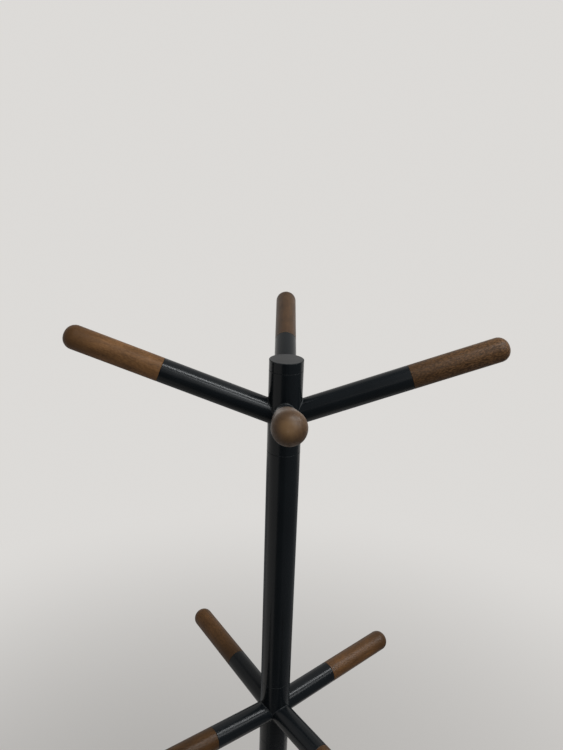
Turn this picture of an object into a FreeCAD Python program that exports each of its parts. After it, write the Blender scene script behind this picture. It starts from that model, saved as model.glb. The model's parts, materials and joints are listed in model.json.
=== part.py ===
import FreeCAD, Part
import math
import os

# Coat stand: a round steel pole in screwed sections on a round plate, with two tiers of four wood-tipped arms.
# Millimetres and degrees. +Z is up, the floor is at zero, and the pole's axis is X = Y = 0.
# One upper arm points along each of +X, +Y, -X and -Y; -Y is the front.

# Pole, hubs and cap
pole_diameter = 35.0
pole_wall = 1.5
hub_wall = 2.0
bottom_tube_length = 550.0
middle_tube_length = 550.0
upper_tube_length = 300.0
hub_height = 88.0
cap_height = 11.0
cap_spigot_length = 15.0
cap_spigot_wall = 2.5
cap_edge_rounding = 0.8
seam_chamfer = 0.3

# Arms and wood tips, with lengths along the arm's centreline and the reach counted from the pole's axis
upper_sides = ("right", "back", "left", "front")
lower_sides = ("back_right", "back_left", "front_left", "front_right")
arm_diameter = 25.0
arm_wall = 1.2
upper_arm_reach = 133.5
upper_arm_tilt = 20.3
lower_arm_reach = 86.0
lower_arm_tilt = 3.3
lower_tier_turn = 36.5
tip_diameter = 25.0
tip_length = 100.0
tip_flat_diameter = 3.0
tip_edge_chamfer = 0.3

# Screwed joints of the pole and of its foot, with the inserts set back so that the tubes' own rims meet
thread_diameter = 10.0
insert_length = 16.0
insert_setback = 0.3
stud_setback = 1.0

# Screwed joints of the wood tips
plug_length = 12.0
tip_stud_diameter = 6.0
tip_stud_depth = 28.0
pilot_spare_depth = 2.0

# Base
base_diameter = 360.0
base_thickness = 8.0
base_edge_rounding = 2.0
bolt_head_diameter = 20.0
bolt_socket_width = 6.0
bolt_socket_depth = 3.5
pad_count = 6
pad_diameter = 24.0
pad_height = 3.0
pad_edge_rounding = 0.6
pad_inset = 14.0

# Clearances on the radius: pressed pieces in their tubes, screws in their threads, arm ends off the hub
press_clearance = 0.03
thread_clearance = 0.05
cope_clearance = 0.03

# Heights of the stack, from the floor up
base_bottom = pad_height
base_top = base_bottom + base_thickness
bottom_tube_top = base_top + bottom_tube_length
middle_tube_top = bottom_tube_top + middle_tube_length
lower_hub_top = middle_tube_top + hub_height
upper_tube_top = lower_hub_top + upper_tube_length
upper_hub_top = upper_tube_top + hub_height
cap_top = upper_hub_top + cap_height

pole_radius = pole_diameter / 2
pole_bore = pole_radius - pole_wall
hub_bore = pole_radius - hub_wall
thread_radius = thread_diameter / 2
thread_bore = thread_radius + thread_clearance
stud_engagement = insert_length - stud_setback

origin = FreeCAD.Vector(0, 0, 0)
up = FreeCAD.Vector(0, 0, 1)
sideways = FreeCAD.Vector(0, 1, 0)


def rounded_corner(before, corner, after, rounding):
    """Start, middle and end of the arc that rounds one corner of a section."""
    to_before = (before - corner).normalize()
    to_after = (after - corner).normalize()
    half_angle = to_before.getAngle(to_after) / 2
    reach = rounding / math.tan(half_angle)
    depth = rounding / math.sin(half_angle) - rounding
    bisector = (to_before + to_after).normalize()
    return corner + to_before * reach, corner + bisector * depth, corner + to_after * reach


def turned(*corners):
    """Solid turned about Z from the (radius, height) or (radius, height, rounding) corners of its section."""
    points = [FreeCAD.Vector(corner[0], 0, corner[1]) for corner in corners]
    stretches = []
    edges = []
    for index, corner in enumerate(corners):
        point = points[index]
        if len(corner) == 3:
            after = points[(index + 1) % len(points)]
            start, middle, end = rounded_corner(points[index - 1], point, after, corner[2])
            edges.append(Part.Arc(start, middle, end).toShape())
            stretches.append((start, end))
        else:
            stretches.append((point, point))
    for index, (start, _) in enumerate(stretches):
        edges.append(Part.LineSegment(stretches[index - 1][1], start).toShape())
    section = Part.Face(Part.Wire(Part.__sortEdges__(edges)))
    return section.revolve(origin, up, 360)


def ring(outer_radius, inner_radius, bottom, top):
    """Plain ring about Z."""
    return turned((inner_radius, bottom), (outer_radius, bottom), (outer_radius, top), (inner_radius, top))


def rod(radius, bottom, top):
    """Plain round bar about Z."""
    return Part.makeCylinder(radius, top - bottom, up * bottom)


def hexagon(width_across_flats, bottom, height):
    """Hexagonal bar about Z."""
    corner = FreeCAD.Vector(width_across_flats / math.sqrt(3), 0, bottom)
    turn = FreeCAD.Rotation(up, 60)
    corners = [corner]
    for _ in range(6):
        corners.append(turn.multVec(corners[-1]))
    return Part.Face(Part.makePolygon(corners)).extrude(up * height)


def chamfered_tube(outer_radius, inner_radius, bottom, top):
    """Tube about Z whose outer rims are chamfered, so that each seam shows as a fine groove."""
    rim = outer_radius - seam_chamfer
    return turned(
        (inner_radius, bottom),
        (rim, bottom),
        (outer_radius, bottom + seam_chamfer),
        (outer_radius, top - seam_chamfer),
        (rim, top),
        (inner_radius, top),
    )


def threaded_insert(bore_radius, bottom):
    """Steel plug pressed into a tube end, with a thread's plain bore."""
    return ring(bore_radius - press_clearance, thread_bore, bottom, bottom + insert_length)


def joint_stud(seam):
    """Threaded stud across one seam of the pole."""
    return rod(thread_radius, seam - stud_engagement, seam + stud_engagement)


def base_plate():
    """Round plate with a countersunk hole for the bolt in its underside."""
    edge = base_diameter / 2
    mouth = bolt_head_diameter / 2 + thread_clearance
    countersink_top = base_bottom + mouth - thread_bore
    return turned(
        (thread_bore, base_top),
        (thread_bore, countersink_top),
        (mouth, base_bottom),
        (edge, base_bottom, base_edge_rounding),
        (edge, base_top, base_edge_rounding),
    )


def base_bolt():
    """Countersunk bolt, flush with the plate's underside, that draws the pole down on the plate."""
    head = bolt_head_diameter / 2
    bolt = turned(
        (0, base_bottom),
        (head, base_bottom),
        (thread_radius, base_bottom + head - thread_radius),
        (thread_radius, base_top + stud_engagement),
        (0, base_top + stud_engagement),
    )
    return bolt.cut(hexagon(bolt_socket_width, base_bottom, bolt_socket_depth)).Solids[0]


def floor_pads():
    """Separate round pads, evenly spaced under the plate's edge."""
    radius = pad_diameter / 2
    pad = turned((0, 0), (radius, 0, pad_edge_rounding), (radius, pad_height), (0, pad_height))
    pad.translate(FreeCAD.Vector(base_diameter / 2 - pad_inset - radius, 0, 0))
    return Part.makeCompound(round_pole(pad, 0, 360 / pad_count, pad_count))


def top_cap():
    """Flat cap as wide as the pole, held by a hollow spigot in the upper hub."""
    spigot = hub_bore - press_clearance
    hollow = spigot - cap_spigot_wall
    spigot_bottom = upper_hub_top - cap_spigot_length
    return turned(
        (0, upper_hub_top),
        (hollow, upper_hub_top),
        (hollow, spigot_bottom),
        (spigot, spigot_bottom),
        (spigot, upper_hub_top),
        (pole_radius - seam_chamfer, upper_hub_top),
        (pole_radius, upper_hub_top + seam_chamfer),
        (pole_radius, cap_top, cap_edge_rounding),
        (0, cap_top),
    )


def arm_axis_height(hub_top, tilt):
    """Height where an arm's centreline meets the pole's axis, so that it leaves the hub at half height."""
    return hub_top - hub_height / 2 - pole_radius * math.tan(math.radians(tilt))


def on_arm(shape, tilt, height):
    """Lay a shape made along Z on the centreline of the arm that points along +X."""
    shape.rotate(origin, sideways, 90 - tilt)
    shape.translate(up * height)
    return shape


def arm_sector(reach, share):
    """Prism about +X that holds one arm's share of the circle, in degrees, out past the arm's end."""
    depth = reach + arm_diameter
    half_width = depth * math.tan(math.radians(share / 2))
    corners = [
        origin,
        FreeCAD.Vector(depth, -half_width, 0),
        FreeCAD.Vector(depth, half_width, 0),
        origin,
    ]
    return Part.Face(Part.makePolygon(corners)).extrude(up * cap_top)


def arm_tube(reach, tilt, height, share):
    """Tube with its inner end shaped to the round of the hub, kept to its own share of the circle."""
    radius = arm_diameter / 2
    bore = radius - arm_wall
    rim = radius - seam_chamfer
    tube = turned((bore, 0), (radius, 0), (radius, reach - seam_chamfer), (rim, reach), (bore, reach))
    tube = on_arm(tube, tilt, height)
    hub_space = rod(pole_radius + cope_clearance, 0, cap_top)
    return tube.cut(hub_space).common(arm_sector(reach, share)).Solids[0]


def arm_plug(reach, tilt, height):
    """Steel plug in the arm's outer end, flush with it, with a thread's plain bore."""
    outer = arm_diameter / 2 - arm_wall - press_clearance
    bore = tip_stud_diameter / 2 + thread_clearance
    return on_arm(ring(outer, bore, reach - plug_length, reach), tilt, height)


def tip_stud(reach, tilt, height):
    """Stud with a machine thread in the plug and a wood thread in the tip."""
    stud = rod(tip_stud_diameter / 2, reach - plug_length, reach + tip_stud_depth)
    return on_arm(stud, tilt, height)


def wood_tip(reach, tilt, height):
    """Turned wood tip with a rounded end and a blind pilot hole, seated on the arm's end."""
    radius = tip_diameter / 2
    end = reach + tip_length
    pilot = tip_stud_diameter / 2 + thread_clearance
    pilot_end = reach + tip_stud_depth + pilot_spare_depth
    tip = turned(
        (0, pilot_end),
        (pilot, pilot_end),
        (pilot, reach),
        (radius - tip_edge_chamfer, reach),
        (radius, reach + tip_edge_chamfer),
        (radius, end, radius - tip_flat_diameter / 2),
        (0, end),
    )
    return on_arm(tip, tilt, height)


def round_pole(shape, turn, share, count):
    """Copies of a shape round the pole, from a first turn about it and a share of the circle apart."""
    copies = []
    for number in range(count):
        copy = shape.copy()
        copy.rotate(origin, up, turn + share * number)
        copies.append(copy)
    return copies


def tier(prefix, sides, hub_top, reach, tilt, turn):
    """All the pieces on the arms of one tier, by node name."""
    height = arm_axis_height(hub_top, tilt)
    share = 360 / len(sides)
    arms = round_pole(arm_tube(reach, tilt, height, share), turn, share, len(sides))
    tips = round_pole(wood_tip(reach, tilt, height), turn, share, len(sides))
    plugs = round_pole(arm_plug(reach, tilt, height), turn, share, len(sides))
    studs = round_pole(tip_stud(reach, tilt, height), turn, share, len(sides))
    nodes = {
        f"{prefix}_arm_plugs": Part.makeCompound(plugs),
        f"{prefix}_tip_studs": Part.makeCompound(studs),
    }
    for side, arm, tip in zip(sides, arms, tips):
        nodes[f"{prefix}_arm_{side}"] = arm
        nodes[f"{prefix}_tip_{side}"] = tip
    return nodes


def pole_nodes():
    """Tubes, hubs, inserts and studs of the pole, from the base to the cap."""
    nodes = {}
    sections = [
        ("bottom_tube", pole_bore, base_top, bottom_tube_top),
        ("middle_tube", pole_bore, bottom_tube_top, middle_tube_top),
        ("lower_hub", hub_bore, middle_tube_top, lower_hub_top),
        ("upper_tube", pole_bore, lower_hub_top, upper_tube_top),
        ("upper_hub", hub_bore, upper_tube_top, upper_hub_top),
    ]
    for name, bore, bottom, top in sections:
        nodes[name] = chamfered_tube(pole_radius, bore, bottom, top)
        nodes[f"{name}_foot_insert"] = threaded_insert(bore, bottom + insert_setback)
    # Another section is screwed on every head but the last, which takes the cap.
    for name, bore, bottom, top in sections[:-1]:
        nodes[f"{name}_head_insert"] = threaded_insert(bore, top - insert_setback - insert_length)
        nodes[f"{name}_head_stud"] = joint_stud(top)
    return nodes


nodes = {
    "base_plate": base_plate(),
    "base_bolt": base_bolt(),
    "floor_pads": floor_pads(),
    "top_cap": top_cap(),
}
nodes.update(pole_nodes())
nodes.update(tier("upper", upper_sides, upper_hub_top, upper_arm_reach, upper_arm_tilt, 0))
nodes.update(tier("lower", lower_sides, lower_hub_top, lower_arm_reach, lower_arm_tilt, lower_tier_turn))

os.makedirs("parts", exist_ok=True)
for name, shape in nodes.items():
    shape.exportStep(f"parts/{name}.step")
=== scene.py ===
import json
import math

import bpy
from mathutils import Matrix, Vector


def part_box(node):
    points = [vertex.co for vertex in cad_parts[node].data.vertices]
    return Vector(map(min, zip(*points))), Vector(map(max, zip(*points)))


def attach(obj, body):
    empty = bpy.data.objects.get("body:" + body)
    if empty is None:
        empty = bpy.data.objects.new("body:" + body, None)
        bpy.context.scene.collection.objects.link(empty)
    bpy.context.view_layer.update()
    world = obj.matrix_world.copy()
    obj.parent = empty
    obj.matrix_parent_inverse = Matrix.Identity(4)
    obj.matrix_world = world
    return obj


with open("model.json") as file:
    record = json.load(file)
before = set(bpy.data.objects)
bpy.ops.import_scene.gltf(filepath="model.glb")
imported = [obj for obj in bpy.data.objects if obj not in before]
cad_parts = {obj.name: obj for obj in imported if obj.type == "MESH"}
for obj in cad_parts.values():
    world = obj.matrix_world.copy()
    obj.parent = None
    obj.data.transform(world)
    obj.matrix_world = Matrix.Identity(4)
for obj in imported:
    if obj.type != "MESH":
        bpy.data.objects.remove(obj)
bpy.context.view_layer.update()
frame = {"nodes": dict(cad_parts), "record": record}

# Coat stand in black coated steel with wood tips, on a pale floor that fades into a pale background.
# Metres and degrees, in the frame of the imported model: +Z is up, the floor is at zero, -Y is the front.

MILLIMETRE = 0.001

# Camera, placed from the point where the upper arms' centrelines cross, with its sensor in millimetres
IMAGE_HEIGHT = 750
FOCAL_PIXELS = 611.0
SENSOR_SIDE = 36.0
CAMERA_TURN = -0.95
CAMERA_DISTANCE = 0.5810
CAMERA_RISE = 0.2382
CAMERA_PITCH = 18.44
CAMERA_YAW = 0.455
CAMERA_ROLL = 1.845

# Surroundings, with a floor just under the pads that fades between two distances from the pole
BACKGROUND = (0.72, 0.705, 0.685, 1.0)
AMBIENT = (0.22, 0.225, 0.23, 1.0)
FLOOR_COLOUR = (0.83, 0.785, 0.74, 1.0)
FLOOR_RADIUS = 14.0
FLOOR_SIDES = 128
FLOOR_DROP = 0.0002
FADE_START = 0.35
FADE_END = 2.4

# Lamps above the point where the upper arms' centrelines cross, each a strip between two points of its plan
LAMP_RISE = 1.0
LAMP_TINT = (0.95, 0.98, 1.0)
LAMPS = {
    "first_lamp": {"near": (0.10, -0.335), "far": (0.56, -0.335), "width": 0.14, "radiance": 28.0},
    "second_lamp": {"near": (0.60, -0.03), "far": (1.30, -0.03), "width": 0.16, "radiance": 22.0},
    "third_lamp": {"near": (0.27, -0.96), "far": (0.75, -0.96), "width": 0.26, "radiance": 16.0},
    "fourth_lamp": {"near": (0.75, -0.84), "far": (2.70, -0.84), "width": 0.44, "radiance": 5.8},
}
FILL_RISE = 2.4
FILL_SIDE = 3.6
FILL_RADIANCE = 0.25

# Screens that only the object's gloss can see: curved ones, by their angles from the front to the right,
# and level ones at the lamps' height, by two corners of their plan
SCREEN_STEPS = 48
SCREENS = {
    "dark_screen": {
        "radius": 1.0, "start": -30.0, "end": 16.0, "top": 1.74, "colour": (0.05, 0.055, 0.06, 1.0),
    },
    "grey_screen": {
        "radius": 1.0, "start": 16.0, "end": 112.0, "top": 1.74, "colour": (0.16, 0.168, 0.176, 1.0),
    },
    "back_screen": {
        "radius": 1.0, "start": 112.0, "end": 242.0, "top": 1.0, "colour": (0.21, 0.215, 0.22, 1.0),
    },
    "low_screen": {
        "radius": 0.8, "start": -65.0, "end": 100.0, "top": 0.3, "colour": (0.10, 0.105, 0.11, 1.0),
    },
}
CEILINGS = {
    "dim_ceiling": {"low": (-1.4, -3.0), "high": (-0.03, 0.45), "colour": (0.22, 0.225, 0.23, 1.0)},
    "bright_ceiling": {"low": (0.34, -2.9), "high": (1.2, -1.2), "colour": (3.04, 3.14, 3.2, 1.0)},
}

# Black coating, with the reach of its worn edges, the depth of its orange peel, the roughness from its
# glossiest to its dullest patches, and what is added to that at worn edges and on the pole's sloping and
# level faces
COAT_DEEP = (0.0046, 0.0060, 0.0072)
COAT_PALE = (0.0064, 0.0080, 0.0094)
COAT_WORN = (0.030, 0.032, 0.034, 1.0)
COAT_SPECULAR = 0.17
EDGE_REACH = 0.0008
PEEL_DEPTH = 0.000004
COAT_ROUGHNESS = (0.22, 0.26)
EDGE_ROUGHNESS = 0.5
SLOPE_ROUGHNESS = 0.45
LEVEL_ROUGHNESS = 0.12
POLE_NODES = ("bottom_tube", "middle_tube", "lower_hub", "upper_tube", "upper_hub", "top_cap")

# Wood, with what its warmth adds to its middle colour. The dark and light grain and the painted light at
# the middle of the end grain are multiples of the middle colour, and the pores of the dark grain.
WOOD_COLOUR = Vector((0.132, 0.068, 0.030))
WOOD_WARMTH = Vector((0.0, -0.006, -0.008))
DARK_GRAIN = 0.55
LIGHT_GRAIN = 1.5
PORE_GRAIN = 0.45
LIT_CENTRE_GRAIN = Vector((2.3, 2.37, 2.15))
SHEEN_SPREAD = 0.04
FIBRE_DEPTH = 0.00004
PORE_DEPTH = 0.00008

# Growth rings about the pith of a tip's tree, which lies to its side and below it, in millimetres, with how
# many rings they wander
PITH_SIDE = 31.0
PITH_DROP = 17.0
RINGS_PER_MILLIMETRE = 0.26
RING_DRIFT = 3.2

# Where a tip darkens towards its root, and where painted shade darkens its rounded end, in millimetres from
# the middle of its straight part
ROOT_FADE = (20.0, -50.0)
PAINTED_END_SHADE = (10.0, 50.0)

# Painted light on a tip's end grain, a paler patch that stands in for light falling on its rounded end: its
# centre in millimetres along the tip, to its side and up, with the distances between which its paler colour
# fades and how far they wander
LIT_CENTRE_PLACE = (0.0, -1.2, -0.4)
LIT_CENTRE_FADE = (6.0, 14.0)
LIT_CENTRE_DRIFT = 8.0

# Piece of wood of each tip, by the peg that the tip makes. A tip's brightness is partly its wood's own and
# partly painted light and shade for how the light falls on it.
TIMBER = {
    "upper_peg_right": {
        "seed": 53.0, "tone_and_shade": 0.58, "warmth": 0.2, "speckle": 1.25,
        "gloss": 0.13, "roughness": 0.38, "root": 0.45,
    },
    "upper_peg_back": {
        "seed": 8.0, "tone_and_shade": 0.48, "warmth": 0.1, "speckle": 0.3,
        "gloss": 0.17, "roughness": 0.38, "root": 0.35,
    },
    "upper_peg_left": {
        "seed": 64.0, "tone_and_shade": 1.0, "warmth": 0.6, "speckle": 0.3,
        "gloss": 0.11, "roughness": 0.42, "end": 0.85,
    },
    "upper_peg_front": {
        "seed": 21.0, "tone_and_shade": 0.49, "warmth": -0.9, "speckle": 0.15,
        "gloss": 0.19, "roughness": 0.38, "lit_centre": 0.95,
    },
    "lower_peg_back_right": {
        "seed": 427.0, "tone_and_shade": 0.65, "warmth": 1.6, "speckle": 0.3,
        "gloss": 0.25, "roughness": 0.42, "end": 0.8,
    },
    "lower_peg_back_left": {
        "seed": 33.0, "tone_and_shade": 0.79, "warmth": 1.0, "speckle": 0.25,
        "gloss": 0.14, "roughness": 0.36, "root": 1.0,
    },
    "lower_peg_front_left": {
        "seed": 40.0, "tone_and_shade": 0.43, "warmth": 1.0, "speckle": 0.25,
        "gloss": 0.14, "roughness": 0.34, "end": 0.2,
    },
    "lower_peg_front_right": {
        "seed": 47.0, "tone_and_shade": 0.49, "warmth": 0.3, "speckle": 0.25,
        "gloss": 0.14, "roughness": 0.34, "end": 0.3,
    },
}

# Zinc plating, with its turning marks per metre across and along the pole
ZINC_DULL = (0.46, 0.47, 0.49)
ZINC_BRIGHT = (0.60, 0.60, 0.60)
ZINC_ROUGHNESS = (0.38, 0.26)
MARKS_PER_METRE = (300.0, 300.0, 5200.0)
MARK_DEPTH = 0.00002

# Rubber of the pads
RUBBER_CLEAN = (0.012, 0.012, 0.013)
RUBBER_DUSTY = (0.030, 0.029, 0.028)
RUBBER_ROUGHNESS = (0.72, 0.85)
RUBBER_SPECULAR = 0.3
PEBBLE_DEPTH = 0.00005

# Smooth bead of coating where each arm meets its hub
BEAD_RADIUS = 0.0010
BEAD_STEPS = 120
BEAD_ARC_STEPS = 6

# Pegs that the wood tips make, and the body of each tier
PEGS = {mount["name"]: mount for mount in frame["record"]["mounts"] if mount["kind"] == "pin"}
TIER_BODIES = {"upper": "upper_tier", "lower": "lower_tier"}


def half_width(node, axis):
    """Half of a CAD node's extent along one axis."""
    low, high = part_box(node)
    return (high[axis] - low[axis]) / 2


POLE_RADIUS = half_width("upper_tube", 0)
ARM_RADIUS = half_width("upper_arm_right", 1)


def peg_parts(name):
    """Tier and side in a peg's name, such as upper and right in upper_peg_right."""
    tier, side = name.split("_peg_")
    return tier, side


def crossing_height(peg):
    """Height where an arm's centreline crosses the pole's axis."""
    place = Vector(peg["pos_m"])
    axis = Vector(peg["axis"])
    run = math.hypot(place.x, place.y)
    return place.z - run * axis.z / math.hypot(axis.x, axis.y)


class Graph:
    """Node tree of one material or world, with short calls that add and link its nodes."""

    def __init__(self, owner):
        owner.use_nodes = True
        self.tree = owner.node_tree
        self.tree.nodes.clear()

    def set(self, socket, value):
        """Link another node's output to a socket, or give the socket a value."""
        if isinstance(value, bpy.types.NodeSocket):
            self.tree.links.new(value, socket)
        else:
            socket.default_value = value

    def add(self, kind, inputs=None, **settings):
        """New node with its settings and inputs, where an input is a value or another node's output."""
        node = self.tree.nodes.new(kind)
        for name, value in settings.items():
            setattr(node, name, value)
        for name, value in (inputs or {}).items():
            self.set(node.inputs[name], value)
        return node

    def operate(self, kind, operation, values):
        """Outputs of a new node that works on values in order."""
        node = self.add(kind, operation=operation)
        for socket, value in zip(node.inputs, values):
            self.set(socket, value)
        return node.outputs

    def math(self, operation, *values):
        """Number worked out from numbers."""
        return self.operate("ShaderNodeMath", operation, values)["Value"]

    def vector(self, operation, *values):
        """Vector worked out from vectors."""
        return self.operate("ShaderNodeVectorMath", operation, values)["Vector"]

    def measure(self, operation, *values):
        """Number worked out from vectors, such as a length."""
        return self.operate("ShaderNodeVectorMath", operation, values)["Value"]

    def noise(self, vector, scale=1.0, detail=2.0, roughness=0.5, seed=0.0):
        """Noise from 0 to 1, another pattern for each seed."""
        inputs = {"Vector": vector, "Scale": scale, "Detail": detail, "Roughness": roughness, "W": seed}
        return self.add("ShaderNodeTexNoise", inputs, noise_dimensions="4D").outputs["Fac"]

    def remap(self, value, source, target):
        """Value from one range, eased and clamped, to another, where each range is its two ends."""
        inputs = {
            "Value": value,
            "From Min": source[0],
            "From Max": source[1],
            "To Min": target[0],
            "To Max": target[1],
        }
        return self.add("ShaderNodeMapRange", inputs, interpolation_type="SMOOTHSTEP").outputs["Result"]

    def weighted(self, *terms):
        """Half, plus each pattern's departure from half times its weight."""
        total = 0.5 - sum(weight for _, weight in terms) / 2
        for pattern, weight in terms:
            total = self.math("MULTIPLY_ADD", pattern, weight, total)
        return total

    def mix(self, share, first, second):
        """Colour mixed from two others."""
        node = self.add("ShaderNodeMix", data_type="RGBA")
        self.set(node.inputs["Factor"], share)
        self.set(node.inputs["A"], first)
        self.set(node.inputs["B"], second)
        return node.outputs["Result"]

    def ramp(self, value, *stops):
        """Colour by value, from (position, colour) stops."""
        node = self.add("ShaderNodeValToRGB", {"Fac": value})
        elements = node.color_ramp.elements
        while len(elements) < len(stops):
            elements.new(0.5)
        for element, (position, colour) in zip(elements, stops):
            element.position = position
            element.color = (*colour, 1.0)
        return node.outputs["Color"]

    def bump(self, height, distance, strength, under=None):
        """Normal raised by a height from 0 to 1 over a distance in metres.

        It lies on top of another normal, if one is given.
        """
        inputs = {"Height": height, "Distance": distance, "Strength": strength}
        if under is not None:
            inputs["Normal"] = under
        return self.add("ShaderNodeBump", inputs).outputs["Normal"]

    def surface(self, **inputs):
        """Principled surface, whose inputs are named with underscores for spaces."""
        named = {name.replace("_", " "): value for name, value in inputs.items()}
        shader = self.add("ShaderNodeBsdfPrincipled", named)
        self.add("ShaderNodeOutputMaterial", {"Surface": shader.outputs["BSDF"]})

    def object_coordinates(self):
        """Place in the object's own frame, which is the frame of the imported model."""
        return self.add("ShaderNodeTexCoord").outputs["Object"]

    def glow(self, colour):
        """Even light of a colour."""
        return self.add("ShaderNodeEmission", {"Color": colour, "Strength": 1.0}).outputs["Emission"]

    def seen_as_background(self):
        """One for the rays that should show the background: camera, glossy and transmission rays."""
        path = self.add("ShaderNodeLightPath").outputs
        mirrored = self.math("MAXIMUM", path["Is Glossy Ray"], path["Is Transmission Ray"])
        return self.math("MAXIMUM", path["Is Camera Ray"], mirrored)


def black_coat(name, slope_roughness=0.0, level_roughness=0.0):
    """Satin black coating: near-black with a cool cast, faint orange peel and thinner, paler, duller edges.

    Sloping faces, such as the seams' chamfers, and level ones are duller by their own roughness.
    """
    material = bpy.data.materials.new(name)
    graph = Graph(material)
    place = graph.object_coordinates()
    cloud = graph.noise(place, scale=24.0, detail=3.0)
    grain = graph.noise(place, scale=420.0, seed=3.0)
    haze = graph.noise(place, scale=40.0, detail=1.0, seed=5.0)
    peel = graph.noise(place, scale=380.0, detail=1.0, seed=7.0)

    # An edge is where the rounded normal departs from the true one, and its wear is broken up by the grain
    rounded = graph.add("ShaderNodeBevel", {"Radius": EDGE_REACH}, samples=6).outputs["Normal"]
    true_normal = graph.add("ShaderNodeNewGeometry").outputs["Normal"]
    agreement = graph.measure("DOT_PRODUCT", rounded, true_normal)
    edge = graph.remap(agreement, (0.99, 0.86), (0.0, 0.55))
    worn = graph.math("MULTIPLY", edge, graph.remap(grain, (0.42, 0.60), (0.25, 1.0)))
    colour = graph.ramp(cloud, (0.3, COAT_DEEP), (0.7, COAT_PALE))
    colour = graph.mix(worn, colour, COAT_WORN)

    # Level faces slope too, so theirs replaces the sloping faces' roughness
    rise = graph.add("ShaderNodeSeparateXYZ", {"Vector": true_normal}).outputs["Z"]
    tilt = graph.math("ABSOLUTE", rise)
    sloping = graph.remap(tilt, (0.3, 0.6), (0.0, slope_roughness))
    levelling = graph.remap(tilt, (0.85, 0.97), (0.0, level_roughness - slope_roughness))
    roughness = graph.remap(haze, (0.3, 0.7), COAT_ROUGHNESS)
    roughness = graph.math("MULTIPLY_ADD", edge, EDGE_ROUGHNESS, roughness)
    roughness = graph.math("ADD", roughness, graph.math("ADD", sloping, levelling))

    normal = graph.bump(peel, PEEL_DEPTH, strength=0.4)
    graph.surface(Base_Color=colour, Roughness=roughness, Specular_IOR_Level=COAT_SPECULAR, Normal=normal)
    return material


class WoodGraph(Graph):
    """Node tree of one tip's wood, in millimetres from the middle of the tip's straight part."""

    def __init__(self, owner, peg, seed):
        super().__init__(owner)
        self.seed = seed
        inputs = {
            "Vector": self.object_coordinates(),
            "Location": Vector(peg["pos_m"]),
            "Rotation": Vector(peg["axis"]).to_track_quat("X", "Z").to_euler(),
            "Scale": (MILLIMETRE, MILLIMETRE, MILLIMETRE),
        }
        self.place = self.add("ShaderNodeMapping", inputs, vector_type="TEXTURE").outputs["Vector"]

    def station(self):
        """Place along the tip, which grows from its arm to its rounded end."""
        return self.add("ShaderNodeSeparateXYZ", {"Vector": self.place}).outputs["X"]

    def stretched(self, along, across):
        """Place in the tip, scaled along it and across it."""
        return self.vector("MULTIPLY", self.place, (along, across, across))

    def pattern(self, along, across, shift, detail=2.0, fineness=0.5):
        """Noise that repeats about so often per millimetre, with its own shift of the seed."""
        place = self.stretched(along, across)
        return self.noise(place, detail=detail, roughness=fineness, seed=self.seed + shift)

    def rings(self):
        """Growth rings, eased from 0 to 1, about a pith that lies further off for a higher seed."""
        drift = self.pattern(along=0.018, across=0.06, shift=0.0)
        pith = (0.0, PITH_SIDE + self.seed, PITH_DROP)
        from_pith = self.measure("LENGTH", self.vector("ADD", self.stretched(along=0.02, across=1.0), pith))
        phase = self.math("MULTIPLY", from_pith, RINGS_PER_MILLIMETRE)
        phase = self.math("ADD", phase, self.math("MULTIPLY", drift, RING_DRIFT))
        return self.remap(self.math("FRACT", phase), (0.0, 1.0), (0.0, 1.0))

    def lit_centre_distance(self, mottle):
        """Distance from the centre of the painted light on the end grain, made uneven by the mottle."""
        from_lit_centre = self.vector("SUBTRACT", self.stretched(along=0.0, across=1.0), LIT_CENTRE_PLACE)
        return self.math("MULTIPLY_ADD", mottle, LIT_CENTRE_DRIFT, self.measure("LENGTH", from_lit_centre))


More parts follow.
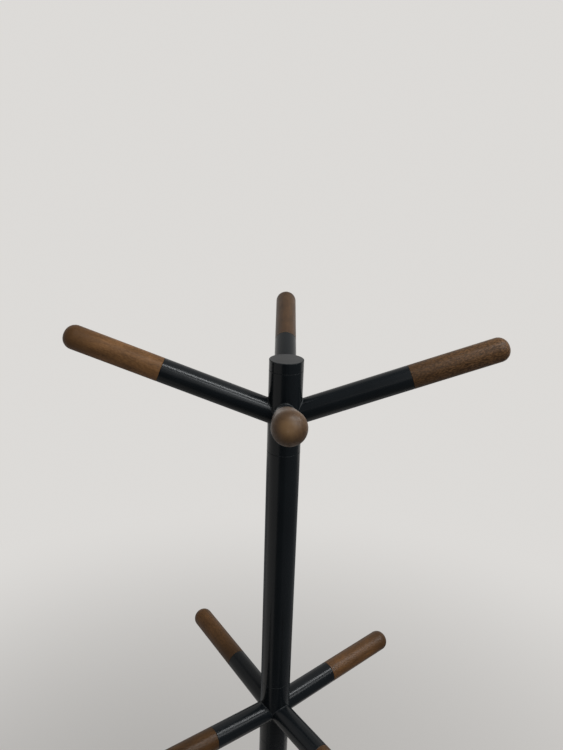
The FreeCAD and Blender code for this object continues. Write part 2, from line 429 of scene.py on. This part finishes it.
def wood(name, peg, seed, tone_and_shade, warmth, speckle, gloss, roughness, root=0.0, end=0.0, lit_centre=0.0):
    """Oiled brown wood with its grain along a tip: growth rings, fibres, flecks and short dark pores.

    The tone brightens it, partly as the wood's own colour and partly as painted light and shade for how the
    light falls on each tip. The warmth moves it from golden to red-brown, and the speckle strengthens its
    flecks and pores. The root is the share by which it darkens towards its arm, and the end is the share of
    painted shade that darkens its rounded end. The heart is the share of painted light that makes the middle
    of its end grain paler.
    """
    material = bpy.data.materials.new(name)
    graph = WoodGraph(material, peg, seed)
    fibre = graph.pattern(along=0.035, across=1.1, shift=11.0, detail=4.0, fineness=0.62)
    hair = graph.pattern(along=0.16, across=5.0, shift=23.0)
    mottle = graph.pattern(along=0.05, across=0.11, shift=31.0, detail=3.0)
    fleck = graph.pattern(along=0.40, across=0.85, shift=37.0, fineness=0.6)
    pore = graph.pattern(along=0.17, across=2.6, shift=43.0, detail=1.0, fineness=0.4)
    pores = graph.remap(pore, (0.60, 0.69), (0.0, 1.0))
    shade = graph.weighted(
        (fibre, 0.16),
        (graph.rings(), 0.04),
        (mottle, 0.40),
        (hair, 0.12),
        (fleck, 0.10 + 1.2 * speckle),
    )

    # The tone is partly the wood's own and partly painted light and shade for how the light falls on this
    # tip
    middle = (WOOD_COLOUR + WOOD_WARMTH * warmth) * tone_and_shade
    dark = middle * DARK_GRAIN
    light = middle * LIGHT_GRAIN
    golden = middle * LIT_CENTRE_GRAIN
    station = graph.station()
    colour = graph.ramp(shade, (0.34, dark), (0.50, middle), (0.66, light))
    colour = graph.mix(graph.math("MULTIPLY", pores, speckle), colour, (*(dark * PORE_GRAIN), 1.0))
    colour = graph.mix(graph.remap(station, ROOT_FADE, (0.0, root)), colour, (*dark, 1.0))
    # Painted shade: the rounded end darkens
    colour = graph.mix(graph.remap(station, PAINTED_END_SHADE, (0.0, end)), colour, (*dark, 1.0))
    # Painted light: the middle of the end grain is paler where light falls on the rounded end
    paler = graph.remap(graph.lit_centre_distance(mottle), LIT_CENTRE_FADE, (lit_centre, 0.0))
    colour = graph.mix(paler, colour, (*golden, 1.0))

    sheen = graph.remap(fibre, (0.3, 0.7), (roughness + SHEEN_SPREAD, roughness - SHEEN_SPREAD))
    normal = graph.bump(fibre, FIBRE_DEPTH, strength=0.5)
    normal = graph.bump(pores, -PORE_DEPTH, strength=0.6, under=normal)
    graph.surface(Base_Color=colour, Roughness=sheen, Specular_IOR_Level=gloss, Normal=normal)
    return material


def zinc_steel():
    """Zinc-plated steel with fine turning marks and a patchy dull bloom."""
    material = bpy.data.materials.new("bright_zinc")
    graph = Graph(material)
    place = graph.object_coordinates()
    bloom = graph.noise(place, scale=140.0, detail=4.0)
    marks = graph.noise(graph.vector("MULTIPLY", place, MARKS_PER_METRE), seed=2.0)
    colour = graph.ramp(bloom, (0.3, ZINC_DULL), (0.7, ZINC_BRIGHT))
    roughness = graph.remap(bloom, (0.3, 0.7), ZINC_ROUGHNESS)
    normal = graph.bump(marks, MARK_DEPTH, strength=0.4)
    graph.surface(Base_Color=colour, Metallic=1.0, Roughness=roughness, Normal=normal)
    return material


def pad_rubber():
    """Matt black rubber with a fine pebbled skin and a little dust."""
    material = bpy.data.materials.new("matt_rubber")
    graph = Graph(material)
    place = graph.object_coordinates()
    dust = graph.noise(place, scale=90.0, detail=5.0)
    pebble = graph.noise(place, scale=1600.0, seed=4.0)
    colour = graph.ramp(dust, (0.35, RUBBER_CLEAN), (0.75, RUBBER_DUSTY))
    roughness = graph.remap(dust, (0.3, 0.7), RUBBER_ROUGHNESS)
    normal = graph.bump(pebble, PEBBLE_DEPTH, strength=0.6)
    graph.surface(Base_Color=colour, Roughness=roughness, Specular_IOR_Level=RUBBER_SPECULAR, Normal=normal)
    return material


def floor_material():
    """Pale matt floor that turns into the background's own colour away from the object."""
    material = bpy.data.materials.new("pale_floor")
    graph = Graph(material)
    place = graph.add("ShaderNodeNewGeometry").outputs["Position"]
    fade = graph.remap(graph.measure("LENGTH", place), (FADE_START, FADE_END), (0.0, 1.0))
    share = graph.math("MULTIPLY", fade, graph.seen_as_background())
    matt = graph.add("ShaderNodeBsdfDiffuse", {"Color": FLOOR_COLOUR}).outputs["BSDF"]
    blend = graph.add("ShaderNodeMixShader")
    for socket, value in zip(blend.inputs, (share, matt, graph.glow(BACKGROUND))):
        graph.set(socket, value)
    graph.add("ShaderNodeOutputMaterial", {"Surface": blend.outputs["Shader"]})
    return material


def new_mesh(name, points, faces, material, smooth=True):
    """Mesh object made of points and faces."""
    mesh = bpy.data.meshes.new(name)
    mesh.from_pydata(points, [], faces)
    mesh.materials.append(material)
    for face in mesh.polygons:
        face.use_smooth = smooth
    thing = bpy.data.objects.new(name, mesh)
    bpy.context.scene.collection.objects.link(thing)
    return thing


def bead_section(peg, turn):
    """Closed section of a bead at one turn about its arm, with a ball's arc from the hub to the arm.

    The ball touches both, so its centre lies on the curve where the hub and the arm, each thicker by the
    ball's radius, would cross.
    """
    axis = Vector(peg["axis"])
    run = math.hypot(axis.x, axis.y)
    outward = Vector((axis.x, axis.y, 0.0)) / run
    sideways = Vector((-outward.y, outward.x, 0.0))
    above = Vector((0.0, 0.0, 1.0)) * run - outward * axis.z
    start = Vector((0.0, 0.0, crossing_height(peg)))
    around = above * math.cos(turn) + sideways * math.sin(turn)

    reach = ARM_RADIUS + BEAD_RADIUS
    aside = reach * math.sin(turn)
    forward = math.sqrt((POLE_RADIUS + BEAD_RADIUS) ** 2 - aside ** 2)
    along = (forward + reach * math.cos(turn) * axis.z) / run
    centre = start + axis * along + around * reach
    on_arm = start + axis * along + around * ARM_RADIUS
    flat_scale = POLE_RADIUS / (POLE_RADIUS + BEAD_RADIUS)
    on_hub = Vector((centre.x * flat_scale, centre.y * flat_scale, centre.z))

    first = (on_hub - centre).normalized()
    last = (on_arm - centre).normalized()
    points = []
    for step in range(BEAD_ARC_STEPS + 1):
        direction = first.slerp(last, step / BEAD_ARC_STEPS)
        points.append(centre + direction * BEAD_RADIUS)
    points.append(on_hub + on_arm - centre)
    return points


def bead(name, peg, material):
    """Ring-shaped bead in the corner between an arm and its hub."""
    sections = [bead_section(peg, 2 * math.pi * step / BEAD_STEPS) for step in range(BEAD_STEPS)]
    width = len(sections[0])
    points = [point for section in sections for point in section]
    faces = []
    for step in range(BEAD_STEPS):
        this = step * width
        following = (step + 1) % BEAD_STEPS * width
        for index in range(width):
            beside = (index + 1) % width
            faces.append((this + index, following + index, following + beside, this + beside))
    return new_mesh(name, points, faces, material)


def disc(name, radius, height, sides, material):
    """Flat disc that faces up."""
    points = []
    for side in range(sides):
        angle = 2 * math.pi * side / sides
        points.append((radius * math.cos(angle), radius * math.sin(angle), height))
    return new_mesh(name, points, [tuple(range(sides))], material, smooth=False)


def overhead_lamp(name, place, turn, length, width, radiance):
    """Rectangular lamp of an even radiance that faces straight down, with its length turned from X."""
    lamp = bpy.data.lights.new(name, "AREA")
    lamp.shape = "RECTANGLE"
    lamp.size = length
    lamp.size_y = width
    lamp.energy = radiance * math.pi * length * width
    lamp.color = LAMP_TINT
    thing = bpy.data.objects.new(name, lamp)
    thing.location = place
    thing.rotation_euler = (0.0, 0.0, turn)
    thing.visible_camera = False
    bpy.context.scene.collection.objects.link(thing)
    return thing


def strip_lamp(name, height, near, far, width, radiance):
    """Long overhead lamp between two points of its plan."""
    start = Vector((*near, height))
    end = Vector((*far, height))
    reach = end - start
    turn = math.atan2(reach.y, reach.x)
    overhead_lamp(name, (start + end) / 2, turn, reach.length, width, radiance)


def gloss_screen(name, points, faces, colour):
    """Sheet of even glow that only glossy rays can see."""
    material = bpy.data.materials.new(name)
    graph = Graph(material)
    graph.add("ShaderNodeOutputMaterial", {"Surface": graph.glow(colour)})
    sheet = new_mesh(name, points, faces, material)
    sheet.visible_camera = False
    sheet.visible_diffuse = False
    sheet.visible_shadow = False


def curved_screen(name, radius, start, end, top, colour):
    """Upright screen from the floor to its top, on part of a circle round the object."""
    points = []
    for step in range(SCREEN_STEPS + 1):
        angle = math.radians(start + (end - start) * step / SCREEN_STEPS)
        x = radius * math.sin(angle)
        y = -radius * math.cos(angle)
        points.extend([(x, y, 0.0), (x, y, top)])
    faces = [(2 * step, 2 * step + 2, 2 * step + 3, 2 * step + 1) for step in range(SCREEN_STEPS)]
    gloss_screen(name, points, faces, colour)


def level_screen(name, height, low, high, colour):
    """Level screen between two corners of its plan."""
    x0, y0 = low
    x1, y1 = high
    points = [(x0, y0, height), (x0, y1, height), (x1, y1, height), (x1, y0, height)]
    gloss_screen(name, points, [(0, 1, 2, 3)], colour)


def photo_camera(height):
    """Camera at the photograph's viewing angle, above and in front of the upper arms."""
    turn = math.radians(CAMERA_TURN)
    heading = turn + math.radians(CAMERA_YAW)
    pitch = math.radians(CAMERA_PITCH)
    roll = math.radians(CAMERA_ROLL)
    up = Vector((0.0, 0.0, 1.0))
    level = Vector((-math.sin(heading), math.cos(heading), 0.0))
    forward = level * math.cos(pitch) - up * math.sin(pitch)
    side = Vector((math.cos(heading), math.sin(heading), 0.0))
    rise = side.cross(forward)
    right = side * math.cos(roll) + rise * math.sin(roll)
    top = rise * math.cos(roll) - side * math.sin(roll)
    place = Vector((
        CAMERA_DISTANCE * math.sin(turn),
        -CAMERA_DISTANCE * math.cos(turn),
        height + CAMERA_RISE,
    ))
    data = bpy.data.cameras.new("camera")
    data.sensor_width = SENSOR_SIDE
    data.lens = FOCAL_PIXELS / IMAGE_HEIGHT * SENSOR_SIDE
    camera = bpy.data.objects.new("camera", data)
    camera.matrix_world = Matrix.Translation(place) @ Matrix((right, top, -forward)).transposed().to_4x4()
    bpy.context.scene.collection.objects.link(camera)
    bpy.context.scene.camera = camera


def surroundings():
    """Pale world: its background for the rays that show it, a dimmer ambient light for the rest."""
    world = bpy.data.worlds.new("pale_world")
    bpy.context.scene.world = world
    graph = Graph(world)
    colour = graph.mix(graph.seen_as_background(), AMBIENT, BACKGROUND)
    sky = graph.add("ShaderNodeBackground", {"Color": colour, "Strength": 1.0}).outputs["Background"]
    graph.add("ShaderNodeOutputWorld", {"Surface": sky})
    # An even world needs no map of where it is bright
    world.cycles.sampling_method = "NONE"


def dress(node, material):
    """Give a CAD node another material in place of its own."""
    slots = frame["nodes"][node].data.materials
    for index in range(len(slots)):
        slots[index] = material


# Materials of the CAD nodes, by the material that each came with
coat = black_coat("satin_black_coat")
finishes = {"black_coat": coat, "zinc_steel": zinc_steel(), "pad_rubber": pad_rubber()}
for node, thing in frame["nodes"].items():
    finish = thing.data.materials[0].name
    if finish in finishes:
        dress(node, finishes[finish])
pole_coat = black_coat("pole_black_coat", SLOPE_ROUGHNESS, LEVEL_ROUGHNESS)
for node in POLE_NODES:
    dress(node, pole_coat)

# Wood tips, each with its own piece of wood
for name, timber in TIMBER.items():
    tier, side = peg_parts(name)
    dress(f"{tier}_tip_{side}", wood(f"wood_{tier}_{side}", PEGS[name], **timber))

# Beads at the hubs
for name, peg in PEGS.items():
    tier, side = peg_parts(name)
    piece = bead(f"{tier}_bead_{side}", peg, coat)
    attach(piece, TIER_BODIES[tier])

# Floor, light and camera
disc("floor", FLOOR_RADIUS, -FLOOR_DROP, FLOOR_SIDES, floor_material())
surroundings()
upper_height = crossing_height(PEGS["upper_peg_right"])
for name, lamp in LAMPS.items():
    strip_lamp(name, upper_height + LAMP_RISE, **lamp)
fill_place = Vector((0.0, 0.0, upper_height + FILL_RISE))
fill = overhead_lamp("fill_lamp", fill_place, 0.0, FILL_SIDE, FILL_SIDE, FILL_RADIANCE)
fill.visible_glossy = False
for name, sheet in SCREENS.items():
    curved_screen(name, **sheet)
for name, sheet in CEILINGS.items():
    level_screen(name, upper_height + LAMP_RISE, **sheet)
photo_camera(upper_height)
bpy.context.scene.view_settings.view_transform = "Standard"
